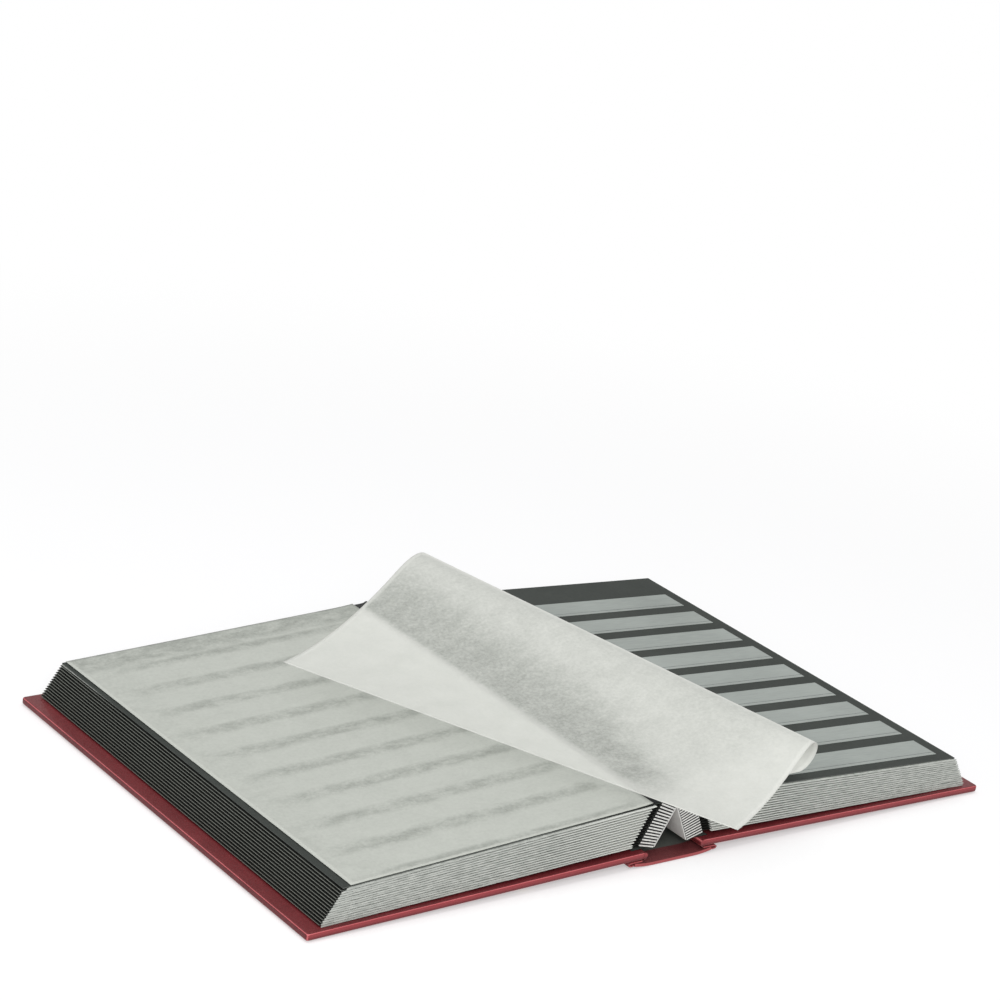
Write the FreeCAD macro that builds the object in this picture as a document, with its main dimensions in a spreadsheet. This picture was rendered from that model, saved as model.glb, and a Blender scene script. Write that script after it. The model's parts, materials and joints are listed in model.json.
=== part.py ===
"""Stamp album lying open: padded case, guarded leaf block and glassine interleaves.

Frame: +X across the spread to the right, +Y along the spine to the head, +Z up, millimetres.
The origin is the middle of the spine's underside, which rests on the table.
"""
import FreeCAD, Part
import math
import os
import re

import Sketcher

Vector = FreeCAD.Vector
Rotation = FreeCAD.Rotation
Placement = FreeCAD.Placement

# Driving sizes in millimetres, and angles in degrees.
SIZES = [
    ("cover_width", 230.0, "cover, from its joint edge to its fore-edge"),
    ("cover_height", 305.0, "cover, along the spine"),
    ("cover_slope", 1.1, "each open cover falls to its fore-edge by this angle"),
    ("joint_edge", 21.5, "joint edge of a cover, from the middle of the spine"),
    ("skin", 0.5, "leatherette"),
    ("foam", 1.2, "padding on the outside of a board"),
    ("board", 2.2, "cover board"),
    ("board_inset", 0.9, "board and padding, inside the cover's outline"),
    ("turn_in", 15.0, "skin folded over on the inside of a cover"),
    ("edge_round", 1.6, "soft outer edge of a cover"),
    ("inner_round", 1.0, "inner edge of a cover"),
    ("corner_round", 1.9, "corner of a cover, seen flat"),
    ("paste_gap", 0.1, "between the endpaper and the turn-ins"),
    ("endpaper", 0.3, "endpaper"),
    ("fold_start", 1.2, "endpaper's fold on the lowest guard, from the back"),
    ("fold_end", 4.6, "end of the paste on that guard"),
    ("fold_paste", 7.0, "endpaper's fold on the cover, from the joint edge"),
    ("spine_width", 58.0, "spine, across"),
    ("spine_flat", 30.0, "part of the spine that lies flat"),
    ("spine_rise", 1.3, "rise of the spine's outside to its long edges"),
    ("spine_card", 1.0, "spine card"),
    ("spine_liner", 0.4, "liner inside the spine"),
    ("joint_cloth", 0.5, "folded leatherette of a joint"),
    ("joint_reach", 11.0, "joint folded back under a cover"),
    ("joint_gap", 0.15, "between the joint and the cover above it"),
    ("foil", 0.1, "depth of the gold lines"),
    ("gold_line", 1.3, "width of a gold line"),
    ("gold_pitch", 3.4, "between the two lines of a pair"),
    ("cover_gold_place", 84.0, "front cover's pair of lines, from the joint edge"),
    ("spine_gold_margin", 20.5, "outermost pairs of lines on the spine, from its ends"),
    ("spine_gold_pairs", 5, "pairs of lines on the spine"),
    ("spine_gold_reach", 50.0, "length of a line across the spine"),
    ("leaf_count", 15, "leaves on each side"),
    ("leaf_width", 218.0, "leaf, from its hinge to its fore-edge"),
    ("leaf_height", 296.0, "leaf, along the spine"),
    ("leaf_card", 0.5, "black card"),
    ("linen_band", 6.0, "linen from the hinge to the card"),
    ("linen", 0.4, "hinge linen"),
    ("hinge_bead", 0.35, "radius of the rounded hinge fold"),
    ("hinge_gap", 0.15, "between a hinge fold and the linen that it turns on"),
    ("leaf_pitch", 1.75, "from leaf to leaf along the back"),
    ("fore_pitch", 1.34, "from leaf to leaf at the fore-edge, lying open"),
    ("fore_gap", 1.0, "from a cover to its nearest leaf at the fore-edge"),
    ("gutter_height", 33.0, "gutter, above the table"),
    ("gutter_fold_radius", 0.5, "fold of the lining at the gutter"),
    ("back_margin", 1.0, "from the gutter to the first guard"),
    ("back_slope", 63.0, "slope of each half of the back, lying open"),
    ("guard_reach", 12.0, "from the back to the leaves' hinges"),
    ("guard_tilt", 26.0, "guard at the gutter rises from the back by this angle"),
    ("guard_tilt_foot", 14.6, "guard at the foot of the back, likewise"),
    ("guard_card", 0.9, "guard"),
    ("guard_gap", 0.3, "between the back lining and the guards"),
    ("lining", 0.6, "back lining"),
    ("lining_margin", 1.55, "from the gutter to each half of the lining, clear of the other half"),
    ("pocket_count", 9, "pocket strips on a page"),
    ("pocket_strip", 0.15, "pocket strip"),
    ("pocket_height", 20.0, "pocket strip, along the spine"),
    ("pocket_pitch", 30.0, "from strip to strip"),
    ("pocket_fore_margin", 9.0, "from the fore-edge to the strips"),
    ("pocket_hinge_margin", 14.0, "from the hinge to the strips"),
    ("pocket_tail_margin", 7.5, "from the tail to the last strip"),
    ("interleaf", 0.15, "glassine"),
    ("interleaf_lift", 0.3, "flat glassine, above the card"),
    ("interleaf_trim", 0.0, "glassine, short of the leaf at its head and at its tail"),
    ("interleaf_margin", 4.5, "glassine, short of the leaf's fore-edge"),
    ("curl_width", 225.5, "bent glassine, from its bound edge to its free edge"),
    ("curl_start", 11.3, "bound edge of the bent glassine, from the gutter"),
    ("curl_rest", 5.1, "bound edge of the bent glassine, above the gutter"),
    ("curl_apex", 719.0, "from half height to the point in which the bend lines meet"),
    ("curl_reach", 45.0, "from the bound edge to the bend, at half height"),
    ("curl_steps", 30, "bend lines"),
    ("curl_share", 0.4, "share of the bend lines that turn the sheet over"),
    ("curl_over", 200.4, "turn of the sheet over itself"),
    ("curl_over_lead", -0.98, "how far that turn gathers at its end"),
    ("curl_back", 24.2, "turn of the free part back towards the page"),
    ("curl_back_lead", 0.2, "how far that turn gathers at its end"),
]

doc = FreeCAD.newDocument("stamp_album")
sheet = doc.addObject("Spreadsheet::Sheet", "Sizes")
for row, (alias, value, note) in enumerate(SIZES, start=1):
    sheet.set(f"A{row}", alias)
    sheet.set(f"B{row}", str(value))
    sheet.set(f"C{row}", note)
    sheet.setAlias(f"B{row}", alias)
doc.recompute()

ALIASES = {alias for alias, value, note in SIZES}
SIDES = {"right": Placement(), "left": Placement(Vector(), Rotation(Vector(0, 0, 1), 180))}
PIECES = []


def size(alias):
    """A driving size, read from the sheet."""
    return float(sheet.get(alias))


def bind(thing, **formulas):
    """Tie properties to formulas written with the names in the sheet."""
    for name, formula in formulas.items():
        text = re.sub(r"[a-z_]+", lambda m: "Sizes." + m[0] if m[0] in ALIASES else m[0], str(formula))
        thing.setExpression(name, text)
    return thing


def piece(thing, label, place=None):
    """Make an object one of the album's named pieces."""
    thing.Label = label
    if place is not None:
        thing.Placement = place
    PIECES.append(thing)
    return thing


def block(name, length, width, height, corner=(0, 0, 0)):
    """A plain rectangular solid with its lowest corner at a point."""
    solid = bind(doc.addObject("Part::Box", name), Length=length, Width=width, Height=height)
    solid.Placement.Base = Vector(*corner)
    return solid


def group(name, members):
    """Several solids that make up one piece."""
    compound = doc.addObject("Part::Compound", name)
    compound.Links = members
    return compound


def cut(name, base, tool):
    """What is left of one solid after another is taken out of it."""
    rest = doc.addObject("Part::Cut", name)
    rest.Base = base
    rest.Tool = tool
    return rest


def extruded(name, face, length):
    """A flat profile in the XZ plane, drawn along the spine and centred on it."""
    profile = doc.addObject("Part::Feature", name + "_profile")
    profile.Shape = face
    solid = doc.addObject("Part::Extrusion", name)
    solid.Base = profile
    solid.DirMode = "Custom"
    solid.Dir = Vector(0, 1, 0)
    solid.Symmetric = True
    solid.Solid = True
    return bind(solid, LengthFwd=length)


def sheet_body(name, length, width, height):
    """A flat sheet: a rectangle from x = 0, centred on the spine's middle, padded upwards."""
    body = doc.addObject("PartDesign::Body", name)
    outline = body.newObject("Sketcher::SketchObject", name + "_outline")
    plane = next(f for f in body.Origin.OriginFeatures if f.Role == "XY_Plane")
    outline.AttachmentSupport = [(plane, "")]
    outline.MapMode = "FlatFace"
    corners = [Vector(0, -10, 0), Vector(20, -10, 0), Vector(20, 10, 0), Vector(0, 10, 0)]
    for start, end in zip(corners, corners[1:] + corners[:1]):
        outline.addGeometry(Part.LineSegment(start, end), False)
    for side in range(4):
        outline.addConstraint(Sketcher.Constraint("Coincident", side, 2, (side + 1) % 4, 1))
    for side, run in enumerate(("Horizontal", "Vertical", "Horizontal")):
        outline.addConstraint(Sketcher.Constraint(run, side))
    outline.addConstraint(Sketcher.Constraint("PointOnObject", 0, 1, -2))
    outline.addConstraint(Sketcher.Constraint("Symmetric", 0, 1, 2, 2, -1))
    across = outline.addConstraint(Sketcher.Constraint("DistanceX", 0, 1, 0, 2, 20))
    along = outline.addConstraint(Sketcher.Constraint("DistanceY", 1, 1, 1, 2, 20))
    bind(outline, **{f"Constraints[{across}]": length, f"Constraints[{along}]": width})
    pad = body.newObject("PartDesign::Pad", name + "_pad")
    pad.Profile = outline
    bind(pad, Length=height)
    return body


def turned(angle):
    """A turn about the spine's direction that lowers what lies on the +X side."""
    return Rotation(Vector(0, 1, 0), angle)


def point(x, z):
    """A point of a cross-section."""
    return Vector(x, 0, z)


# Levels inside a cover, from its outer face up, and the frame of an open cover: x runs from the
# joint edge to the fore-edge, and z from the outer face to the inner one.
SLOPE = math.radians(size("cover_slope"))
BOARD_LEVEL = size("skin") + size("foam")
INNER_LEVEL = BOARD_LEVEL + size("board")
COVER_THICKNESS = INNER_LEVEL + size("skin")
JOINT_LEVEL = size("cover_width") * math.sin(SLOPE)
COVER_FRAME = Placement(Vector(size("joint_edge"), 0, JOINT_LEVEL), turned(size("cover_slope")))
COVER_TOP = "skin + foam + board + skin"
COVER_NAMES = {"right": "back", "left": "front"}


def rounded_cover(name):
    """The outer form of a cover: soft outer edges, crisp inner edges, small corners."""
    slab = block(name + "_slab", "cover_width", "cover_height", COVER_TOP, (0, -size("cover_height") / 2, 0))
    doc.recompute()
    radii = []
    for number, edge in enumerate(slab.Shape.Edges, start=1):
        box = edge.BoundBox
        upright = box.ZLength > size("skin")
        radius = size("corner_round") if upright else size("inner_round")
        if not upright and box.ZMax < COVER_THICKNESS / 2:
            radius = size("edge_round")
        radii.append((number, radius, radius))
    rounded = doc.addObject("Part::Fillet", name + "_rounded")
    rounded.Base = slab
    rounded.Edges = radii
    return rounded


def gold_lines(name):
    """Two straight gold lines along the height of the front cover's outer face."""
    lines = []
    for side in (-1, 1):
        x = size("cover_gold_place") + side * size("gold_pitch") / 2 - size("gold_line") / 2
        corner = (x, -size("cover_height") / 2 + size("edge_round"), 0)
        length = "cover_height - 2 * edge_round"
        lines.append(block(f"{name}_{side + 1}", "gold_line", length, "foil", corner))
    return group(name, lines)


def make_cover(side):
    """Board, padding, skin and endpaper of one cover."""
    name = COVER_NAMES[side]
    frame = SIDES[side] * COVER_FRAME
    inset = size("board_inset")

    def inside(level, edge=inset):
        return frame * Placement(Vector(edge, 0, level), Rotation())

    inner_length = "cover_width - 2 * board_inset"
    inner_width = "cover_height - 2 * board_inset"
    board = sheet_body(name + "_board_body", inner_length, inner_width, "board")
    padding = sheet_body(name + "_padding_body", inner_length, inner_width, "foam")
    hollow = block(name + "_hollow", inner_length, inner_width, "foam + board",
                   (inset, -size("cover_height") / 2 + inset, size("skin")))
    window = block(name + "_window", "cover_width - 2 * turn_in", "cover_height - 2 * turn_in", "2 * skin",
                   (size("turn_in"), -size("cover_height") / 2 + size("turn_in"), INNER_LEVEL))
    skin = cut(name + "_skin_shell", cut(name + "_skin_pocket", rounded_cover(name), hollow), window)
    if side == "left":
        skin = cut(name + "_skin_grooved", skin, gold_lines(name + "_grooves"))
        piece(gold_lines("front_gold"), "front_gold_lines", frame)
    edge = size("turn_in") + size("paste_gap")
    paper = sheet_body(name + "_endpaper_body", "cover_width - 2 * (turn_in + paste_gap)",
                       "cover_height - 2 * (turn_in + paste_gap)", "endpaper")
    piece(board, name + "_board", inside(BOARD_LEVEL))
    piece(padding, name + "_padding", inside(size("skin")))
    piece(skin, name + "_leatherette", frame)
    piece(paper, name + "_endpaper", inside(INNER_LEVEL, edge))


# The spine's cross-section: flat in the middle, and curved up to its long edges.
SPINE_HALF = size("spine_width") / 2
FLAT_HALF = size("spine_flat") / 2
CURVE_RUN = SPINE_HALF - FLAT_HALF
CURVE_RADIUS = (CURVE_RUN ** 2 + size("spine_rise") ** 2) / (2 * size("spine_rise"))
CURVE_SWEEP = math.asin(CURVE_RUN / CURVE_RADIUS)


def spine_line(depth, share=1.0):
    """Edges across the spine, at a depth above its outside, over a share of the curves."""
    radius = CURVE_RADIUS - depth
    half, full = CURVE_SWEEP * share / 2, CURVE_SWEEP * share

    def on_curve(side, angle):
        return point(side * (FLAT_HALF + radius * math.sin(angle)), CURVE_RADIUS - radius * math.cos(angle))

    left = Part.Arc(on_curve(-1, full), on_curve(-1, half), on_curve(-1, 0))
    middle = Part.LineSegment(on_curve(-1, 0), on_curve(1, 0))
    right = Part.Arc(on_curve(1, 0), on_curve(1, half), on_curve(1, full))
    return [left, middle, right]


def spine_layer(low, high, share=1.0):
    """The cross-section of a layer of the spine between two depths."""
    under, over = spine_line(low, share), spine_line(high, share)
    ends = [Part.LineSegment(under[0].StartPoint, over[0].StartPoint),
            Part.LineSegment(under[2].EndPoint, over[2].EndPoint)]
    edges = [curve.toShape() for curve in under + over + ends]
    return Part.Face(Part.Wire(Part.__sortEdges__(edges)))


def spine_bands(name):
    """Pairs of gold lines across the spine's outside."""
    reach = (size("spine_gold_reach") / 2 - FLAT_HALF) / CURVE_RUN
    pairs = int(size("spine_gold_pairs"))
    first = size("spine_gold_margin") - size("cover_height") / 2
    lines = []
    for pair in range(pairs):
        middle = first - 2 * first * pair / (pairs - 1)
        for side in (-1, 1):
            line = extruded(f"{name}_{pair}_{side + 1}", spine_layer(0, size("foil"), reach), "gold_line")
            line.Placement.Base.y = middle + side * size("gold_pitch") / 2
            lines.append(line)
    return group(name, lines)


def make_spine():
    """Skin, card and liner of the spine, and the gold bands let into its skin."""
    card_level = size("skin") + size("spine_card")
    whole_skin = extruded("spine_skin_whole", spine_layer(0, size("skin")), "cover_height")
    piece(cut("spine_skin", whole_skin, spine_bands("spine_grooves")), "spine_leatherette")
    piece(spine_bands("spine_gold"), "spine_gold_bands")
    card = extruded("spine_card_strip", spine_layer(size("skin"), card_level), "cover_height")
    piece(card, "spine_card")
    liner = spine_layer(card_level, card_level + size("spine_liner"))
    piece(extruded("spine_liner_strip", liner, "cover_height"), "spine_liner")


def make_joint(side):
    """The leatherette joint, folded back between a cover and the spine's long edge."""
    half = size("joint_cloth") / 2
    under_cover = half + size("joint_gap")
    start = COVER_FRAME.multVec(point(0, -under_cover))
    bend = COVER_FRAME.multVec(point(size("joint_reach"), -under_cover))
    level = size("spine_rise") / 2 + half + size("joint_gap")
    radius = (bend.z - level) / 2
    low = point(bend.x, level)
    end = point(SPINE_HALF + size("joint_gap"), level)

    def fold(offset):
        drop = Vector(0, 0, offset)
        tip = point(bend.x + radius + offset, level + radius)
        return [Part.LineSegment(start + drop, bend + drop), Part.Arc(bend + drop, tip, low - drop),
                Part.LineSegment(low - drop, end - drop)]

    outer, inner = fold(half), fold(-half)
    ends = [Part.LineSegment(outer[0].StartPoint, inner[0].StartPoint),
            Part.LineSegment(outer[2].EndPoint, inner[2].EndPoint)]
    edges = [curve.toShape() for curve in outer + inner + ends]
    name = COVER_NAMES[side] + "_joint"
    strip = extruded(name + "_strip", Part.Face(Part.Wire(Part.__sortEdges__(edges))), "cover_height")
    piece(strip, name, SIDES[side])


# The back of the block, one half: x runs along the half from the gutter, and z towards the leaves.
BACK_FRAME = Placement(Vector(0, 0, size("gutter_height")), turned(size("back_slope")))
LEAF_COUNT = int(size("leaf_count"))
BACK_LENGTH = size("back_margin") + LEAF_COUNT * size("leaf_pitch")


def guard_tilt(place):
    """How steeply the ladder rises at a place along the back: the guards fan out from foot to gutter."""
    share = (place - size("back_margin")) / (BACK_LENGTH - size("back_margin"))
    return size("guard_tilt") + (size("guard_tilt_foot") - size("guard_tilt")) * share


def back_strip(name, thickness, reach, place, start):
    """A strip of the ladder at the back, leaning from the lining towards the leaves."""
    strip = block(name, reach, "leaf_height", thickness)
    middle = Vector(start, -size("leaf_height") / 2, -size(thickness) / 2)
    foot = Placement(point(place, 0), turned(-size("back_slope") - guard_tilt(place)))
    strip.Placement = foot * Placement(middle, Rotation())
    return strip


def make_back(side):
    """Lining, guards and hinge linens of one half of the back."""
    frame = SIDES[side] * BACK_FRAME
    corner = (size("lining_margin"), -size("leaf_height") / 2, -size("lining"))
    lining = block(side + "_lining_sheet", "back_margin + leaf_count * leaf_pitch - lining_margin",
                   "leaf_height", "lining", corner)
    guards, linens = [], []
    for number in range(LEAF_COUNT + 1):
        place = size("back_margin") + number * size("leaf_pitch")
        guards.append(back_strip(f"{side}_guard_{number}", "guard_card", "guard_reach - guard_gap", place,
                                 size("guard_gap")))
    for number in range(LEAF_COUNT):
        place = size("back_margin") + (number + 0.5) * size("leaf_pitch")
        reach = "guard_reach - guard_gap - hinge_bead - hinge_gap"
        linens.append(back_strip(f"{side}_linen_{number}", "linen", reach, place, size("guard_gap")))
    piece(lining, side + "_lining", frame * lining.Placement)
    piece(group(side + "_guard_group", guards), side + "_guards", frame)
    piece(group(side + "_linen_group", linens), side + "_hinge_linens", frame)


def make_endpaper_joint(side):
    """The endpaper's free fold, pasted to a cover's joint edge and to the lowest guard."""
    tilt = math.radians(guard_tilt(BACK_LENGTH))
    run, down = point(math.cos(tilt), math.sin(tilt)), point(math.sin(tilt), -math.cos(tilt))
    foot = BACK_FRAME.multVec(point(BACK_LENGTH, 0)) + down * (size("guard_card") / 2)
    near, far = foot + run * size("fold_start"), foot + run * size("fold_end")
    paper = size("endpaper")

    def on_cover(reach, level):
        return COVER_FRAME.multVec(point(reach, COVER_THICKNESS + level))

    first, last = size("inner_round"), size("fold_paste")
    outline = [near, far, on_cover(first, paper), on_cover(last, paper), on_cover(last, 0),
               on_cover(first, 0), far + down * paper, near + down * paper, near]
    name = COVER_NAMES[side] + "_endpaper_joint"
    strip = extruded(name + "_strip", Part.Face(Part.makePolygon(outline)), "leaf_height")
    piece(strip, name, SIDES[side])


def make_gutter():
    """The fold of the lining along the gutter, on which both halves of the back turn."""
    fold = doc.addObject("Part::Cylinder", "gutter_roll")
    bind(fold, Radius="gutter_fold_radius", Height="leaf_height")
    along = Rotation(Vector(0, 0, 1), Vector(0, 1, 0))
    piece(fold, "gutter_fold", Placement(Vector(0, -size("leaf_height") / 2, size("gutter_height")), along))


def leaf_model():
    """One leaf, with its hinge on the Y axis: the rounded linen hinge, and the card glued to it."""
    back = -size("leaf_height") / 2
    card = block("leaf_sheet", "leaf_width - linen_band", "leaf_height", "leaf_card",
                 (size("linen_band"), back, -size("leaf_card") / 2))
    band = block("linen_sheet", "linen_band", "leaf_height", "linen", (0, back, -size("linen") / 2))
    fold = bind(doc.addObject("Part::Cylinder", "linen_fold"), Radius="hinge_bead", Height="leaf_height")
    fold.Placement = Placement(Vector(0, back, 0), Rotation(Vector(0, 0, 1), Vector(0, 1, 0)))
    hinge = doc.addObject("Part::Fuse", "linen_hinge")
    hinge.Base = band
    hinge.Tool = fold
    return [card, hinge]


def leaf_frame(number):
    """Where a leaf of the right half lies, counted from the cover up: its hinge, and how it slopes."""
    along = size("back_margin") + (LEAF_COUNT - number + 0.5) * size("leaf_pitch")
    lean = math.radians(90 - size("back_slope") - guard_tilt(along))
    reach = size("guard_reach")
    hinge = BACK_FRAME.multVec(point(along + reach * math.sin(lean), reach * math.cos(lean)))
    above_cover = COVER_FRAME.inverse().multVec(hinge).z - COVER_THICKNESS
    fore_level = size("fore_gap") + size("leaf_card") / 2 + (number - 1) * size("fore_pitch")
    fall = math.degrees(math.asin((above_cover - fore_level) / size("leaf_width")))
    return Placement(hinge, turned(size("cover_slope") + fall))


def pocket_strips(name, head):
    """The clear strips of a page, with the narrow margin at the tail."""
    strips = []
    length = "leaf_width - pocket_hinge_margin - pocket_fore_margin"
    for number in range(int(size("pocket_count"))):
        tail = -size("leaf_height") / 2 + size("pocket_tail_margin") + number * size("pocket_pitch")
        low = tail if head > 0 else -tail - size("pocket_height")
        corner = (size("pocket_hinge_margin"), low, size("leaf_card") / 2)
        strips.append(block(f"{name}_{number}", length, "pocket_height", "pocket_strip", corner))
    return group(name, strips)


def make_leaves():
    """Thirty leaves on their hinges, and what lies on the two open pages."""
    model = leaf_model()
    for number in range(1, LEAF_COUNT + 1):
        left, right = f"leaf_{number:02d}", f"leaf_{2 * LEAF_COUNT + 1 - number:02d}"
        piece(group(left + "_group", model), left, SIDES["left"] * leaf_frame(number))
        piece(group(right + "_group", model), right, SIDES["right"] * leaf_frame(number))
    top = leaf_frame(LEAF_COUNT)
    for side, head in (("left", -1), ("right", 1)):
        piece(pocket_strips(side + "_strips", head), side + "_page_pockets", SIDES[side] * top)
    flat = sheet_body("flat_interleaf", "leaf_width - linen_band - interleaf_margin",
                      "leaf_height - 2 * interleaf_trim", "interleaf")
    lift = Vector(size("linen_band"), 0, size("leaf_card") / 2 + size("interleaf_lift"))
    piece(flat, "left_interleaf", SIDES["left"] * top * Placement(lift, Rotation()))


def spread(total, count, lead):
    """Share an angle out over a number of bend lines, with more of it at the start or at the end."""
    weights = [1 + lead * (2 * (step + 0.5) / count - 1) for step in range(count)]
    return [math.radians(total) * weight / sum(weights) for weight in weights]


def curl_lines():
    """Head point, tail point and normal of the bent glassine's bound edge, bend lines and free edge.

    All the bend lines meet in one point on the line of the free edge, so that the sheet is bent
    without being stretched.
    """
    half = size("leaf_height") / 2 - size("interleaf_trim")
    apex, width = size("curl_apex"), size("curl_width")
    across, normal = Vector(1, 0, 0), Vector(0, 0, 1)
    start = Vector(size("curl_start"), 0, size("gutter_height") + size("curl_rest"))
    along = Vector(0, 1, 0)
    lines = [(start + along * half, start - along * half, normal)]
    meeting = start + across * width - along * apex
    steps = int(size("curl_steps"))
    over = round(steps * size("curl_share"))
    turns = spread(size("curl_over"), over, size("curl_over_lead"))
    turns += spread(-size("curl_back"), steps - over, size("curl_back_lead"))
    opening = math.atan2(width - size("curl_reach"), apex)
    step = opening / steps
    ray = along * math.cos(opening) - across * math.sin(opening)
    side = across * math.cos(opening) + along * math.sin(opening)
    for number, turn in enumerate(turns + [0]):
        slant = math.cos(opening - number * step)
        middle = normal * math.cos(turn / 2) - side * math.sin(turn / 2)
        head, tail = ray * ((apex + half) / slant), ray * ((apex - half) / slant)
        lines.append((meeting + head, meeting + tail, middle))
        side, normal = (side * math.cos(turn) + normal * math.sin(turn),
                        normal * math.cos(turn) - side * math.sin(turn))
        ray, side = ray * math.cos(step) + side * math.sin(step), side * math.cos(step) - ray * math.sin(step)
    return lines


def make_curl():
    """The bent glassine of the right page, lofted from its bound edge to its free edge."""
    sections = []
    for head, tail, normal in curl_lines():
        lift = normal * (size("interleaf") / 2)
        corners = [head - lift, tail - lift, tail + lift, head + lift, head - lift]
        sections.append(Part.makePolygon(corners))
    sheet_solid = doc.addObject("Part::Feature", "bent_interleaf")
    sheet_solid.Shape = Part.makeLoft(sections, True, True)
    piece(sheet_solid, "curled_interleaf")


for side in SIDES:
    make_cover(side)
    make_joint(side)
    make_back(side)
    make_endpaper_joint(side)
make_spine()
make_gutter()
make_leaves()
make_curl()
doc.recompute()

for thing in doc.Objects:
    if "Invalid" in thing.State or "Error" in thing.State:
        raise RuntimeError(f"{thing.Name} failed: {thing.State}")
for thing in PIECES:
    if thing.Shape.isNull() or not thing.Shape.isValid() or not thing.Shape.Solids:
        raise RuntimeError(f"{thing.Label} has no sound shape")

os.makedirs("parts", exist_ok=True)
for thing in PIECES:
    thing.Shape.exportStep(f"parts/{thing.Label}.step")
print(len(PIECES), "pieces")
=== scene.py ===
# %% [markdown]
# # A stamp album lying open
# The album is a padded leatherette case with thirty black card leaves in it. Every leaf turns on its own
# linen hinge between white guards, clear strips on the pages hold the stamps, and a sheet of glassine lies
# over each page. The imported CAD model comes first. Its boards, guards and leaves are the right shape
# already, so they only need finishes. The soft things, which are glassine, linen and folded leatherette,
# are made here, and most of them ride on the bodies of the CAD model.

# %% Load the imported model
import json
import math
import bpy
import numpy as np
from mathutils import Matrix, Vector


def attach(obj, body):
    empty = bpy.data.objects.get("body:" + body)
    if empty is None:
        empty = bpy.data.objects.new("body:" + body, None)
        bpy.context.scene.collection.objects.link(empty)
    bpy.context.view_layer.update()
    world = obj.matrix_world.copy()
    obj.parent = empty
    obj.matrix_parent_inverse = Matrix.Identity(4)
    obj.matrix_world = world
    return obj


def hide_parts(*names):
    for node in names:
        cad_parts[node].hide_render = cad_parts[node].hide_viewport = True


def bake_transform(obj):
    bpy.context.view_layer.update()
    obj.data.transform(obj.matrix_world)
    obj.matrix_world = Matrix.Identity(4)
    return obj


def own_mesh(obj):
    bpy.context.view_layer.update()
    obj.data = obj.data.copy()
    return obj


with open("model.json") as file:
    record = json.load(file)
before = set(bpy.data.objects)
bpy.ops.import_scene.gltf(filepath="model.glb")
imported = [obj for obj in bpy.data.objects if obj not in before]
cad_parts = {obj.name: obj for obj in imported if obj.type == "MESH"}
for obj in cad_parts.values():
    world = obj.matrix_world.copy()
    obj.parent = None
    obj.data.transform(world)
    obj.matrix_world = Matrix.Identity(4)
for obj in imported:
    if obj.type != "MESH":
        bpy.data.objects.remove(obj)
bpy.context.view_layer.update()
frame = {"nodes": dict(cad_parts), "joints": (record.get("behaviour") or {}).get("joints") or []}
nodes, scene = frame["nodes"], bpy.context.scene


def rounded(numbers):
    """Numbers to four places, for printing."""
    return tuple(round(float(v), 4) for v in numbers)


# %% [markdown]
# ## The camera
# The photograph was taken from in front and to the left, about 20 degrees above the table, with a long
# lens and the camera a little turned about its own line of sight. A camera can be aimed with a Track To
# constraint, but that can't turn it about the line of sight, so its matrix is written directly.

# %% Aim the camera
CAMERA_SIDE, CAMERA_HEIGHT, CAMERA_TURN = (math.radians(angle) for angle in (-40.42, 19.49, 9.12))
CAMERA_AIM, CAMERA_AWAY = Vector((0.23651, 0.32446, 0.015)), 2.13363
SENSOR, LENS_SHARE = 36, 2.90901


def new_object(name, data):
    """An object with this data, linked to the scene."""
    made = bpy.data.objects.new(name, data)
    scene.collection.objects.link(made)
    return made


backward = Vector((math.sin(CAMERA_SIDE) * math.cos(CAMERA_HEIGHT),
                   -math.cos(CAMERA_SIDE) * math.cos(CAMERA_HEIGHT), math.sin(CAMERA_HEIGHT)))
level = Vector((0, 0, 1)).cross(backward).normalized()
upward = backward.cross(level)
turn = Matrix.Rotation(CAMERA_TURN, 3, backward)
axes = Matrix((turn @ level, turn @ upward, backward)).transposed().to_4x4()
camera = new_object("camera", bpy.data.cameras.new("camera"))
camera.data.sensor_width = SENSOR
camera.data.lens = SENSOR * LENS_SHARE
camera.matrix_world = Matrix.Translation(CAMERA_AIM + backward * CAMERA_AWAY) @ axes
scene.camera = camera
print("camera at", rounded(camera.matrix_world.translation))

# %% [markdown]
# ## Shader maths as Python
# A finish is a small sum: take a noise, sharpen it, mix two colours by it. Written node by node that is
# long, so one class wraps a socket. Its operators add Math nodes, and its one method `node` adds any other
# node. The same class serves the geometry trees further down, since they use the same sockets.

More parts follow.
